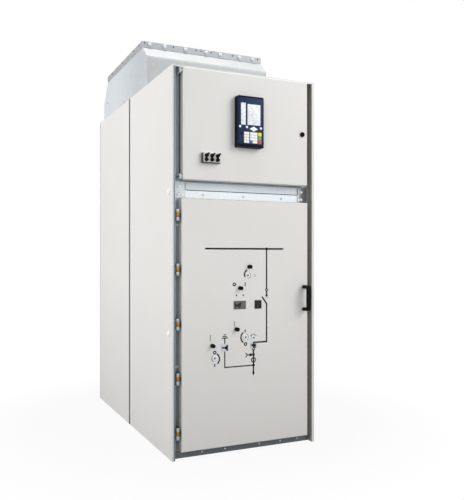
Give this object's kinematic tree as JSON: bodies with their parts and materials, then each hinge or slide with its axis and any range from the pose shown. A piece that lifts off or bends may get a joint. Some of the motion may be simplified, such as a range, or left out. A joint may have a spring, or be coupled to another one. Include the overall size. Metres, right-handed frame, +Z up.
{
  "type": "air-insulated switchgear panel",
  "caption": "Free-standing medium-voltage switchgear panel in light grey sheet steel, with a hinged control door over a hinged switching compartment door and a relief duct on the roof.",
  "frame": {"origin": "middle of the overall box on the floor", "axes": "+Z up, front towards -Y, +X to the right seen from the front"},
  "size_m": [0.856, 1.618, 2.308],
  "materials": {
    "light_paint": "light grey powder coat, fine texture",
    "galvanised": "galvanised sheet steel, faint spangle",
    "dark_paint": "dark grey paint, satin",
    "seal_rubber": "black sealing strip",
    "zinc": "bright zinc plate",
    "yellow_zinc": "yellow passivated zinc plate",
    "white_plastic": "white plastic",
    "black_plastic": "black moulded plastic, fine grain",
    "grey_plastic": "grey engraved plate",
    "light_plastic": "light grey plastic",
    "dark_window": "dark clear window",
    "relay_blue": "dark blue glossy front",
    "display": "pale display"
  },
  "bodies": {
    "cabinet": {"base_front_strip": "dark_paint", "base_side_rails": "galvanised", "base_cross_rails": "galvanised", "floor_plate": "galvanised", "left_front_side_panel": "light_paint", "left_rear_side_panel": "light_paint", "right_front_side_panel": "light_paint", "right_rear_side_panel": "light_paint", "left_front_post": "galvanised", "right_front_post": "galvanised", "mid_posts": "galvanised", "rear_posts": "galvanised", "door_lintel": "galvanised", "lv_sill": "galvanised", "rail_corner_plates": "galvanised", "top_rail": "galvanised", "lv_floor": "galvanised", "lv_back_wall": "galvanised", "lv_seal": "seal_rubber", "partition": "galvanised", "roof_plate": "galvanised", "rear_lower_panel": "light_paint", "rear_upper_panel": "light_paint", "duct_front_wall": "galvanised", "duct_rear_wall": "galvanised", "duct_left_end": "galvanised", "duct_right_end": "galvanised", "duct_top_cover": "galvanised", "hv_hinge_brackets": "zinc", "lv_hinge_brackets": "zinc", "side_caps": "white_plastic"},
    "hv_door": {"hv_door_panel": "light_paint", "hv_hinge_knuckles": "yellow_zinc", "hv_door_handle": "black_plastic", "actuating_sockets": "zinc", "inspection_window": "dark_window", "position_indicators": "white_plastic", "counter_plate": "grey_plastic"},
    "lv_door": {"lv_door_panel": "light_paint", "lv_hinge_knuckles": "zinc", "relay_case": "black_plastic", "relay_faceplate": "relay_blue", "relay_display": "display", "relay_keys": "white_plastic", "test_block": "light_plastic", "test_plugs": "black_plastic"},
    "racking_knob": {"racking_knob": "black_plastic"},
    "release_knob": {"release_knob": "black_plastic"},
    "closing_knob": {"closing_knob": "black_plastic"},
    "earthing_knob": {"earthing_knob": "black_plastic"},
    "lv_lock": {"lv_lock": "black_plastic"}
  },
  "joints": [
    {"name": "hv_door_hinge", "type": "hinge", "parent": "cabinet", "child": "hv_door", "pos_m": [-0.389, -0.743, 0.685], "axis": [0, 0, -1], "range_deg": [0, 130]},
    {"name": "lv_door_hinge", "type": "hinge", "parent": "cabinet", "child": "lv_door", "pos_m": [-0.377, -0.749, 1.706], "axis": [0, 0, -1], "range_deg": [0, 130]},
    {"name": "racking_knob_turn", "type": "hinge", "parent": "hv_door", "child": "racking_knob", "pos_m": [0.009, -0.749, 0.978], "axis": [0, 1, 0], "range_deg": [0, 90]},
    {"name": "release_knob_turn", "type": "hinge", "parent": "hv_door", "child": "release_knob", "pos_m": [-0.045, -0.749, 0.866], "axis": [0, 1, 0], "range_deg": [0, 90]},
    {"name": "closing_knob_turn", "type": "hinge", "parent": "hv_door", "child": "closing_knob", "pos_m": [-0.066, -0.749, 0.651], "axis": [0, 1, 0], "range_deg": [0, 90]},
    {"name": "earthing_knob_turn", "type": "hinge", "parent": "hv_door", "child": "earthing_knob", "pos_m": [-0.204, -0.749, 0.572], "axis": [0, 1, 0], "range_deg": [0, 90]},
    {"name": "lv_lock_turn", "type": "hinge", "parent": "lv_door", "child": "lv_lock", "pos_m": [0.331, -0.756, 1.702], "axis": [0, 1, 0], "range_deg": [0, 90]}
  ]
}
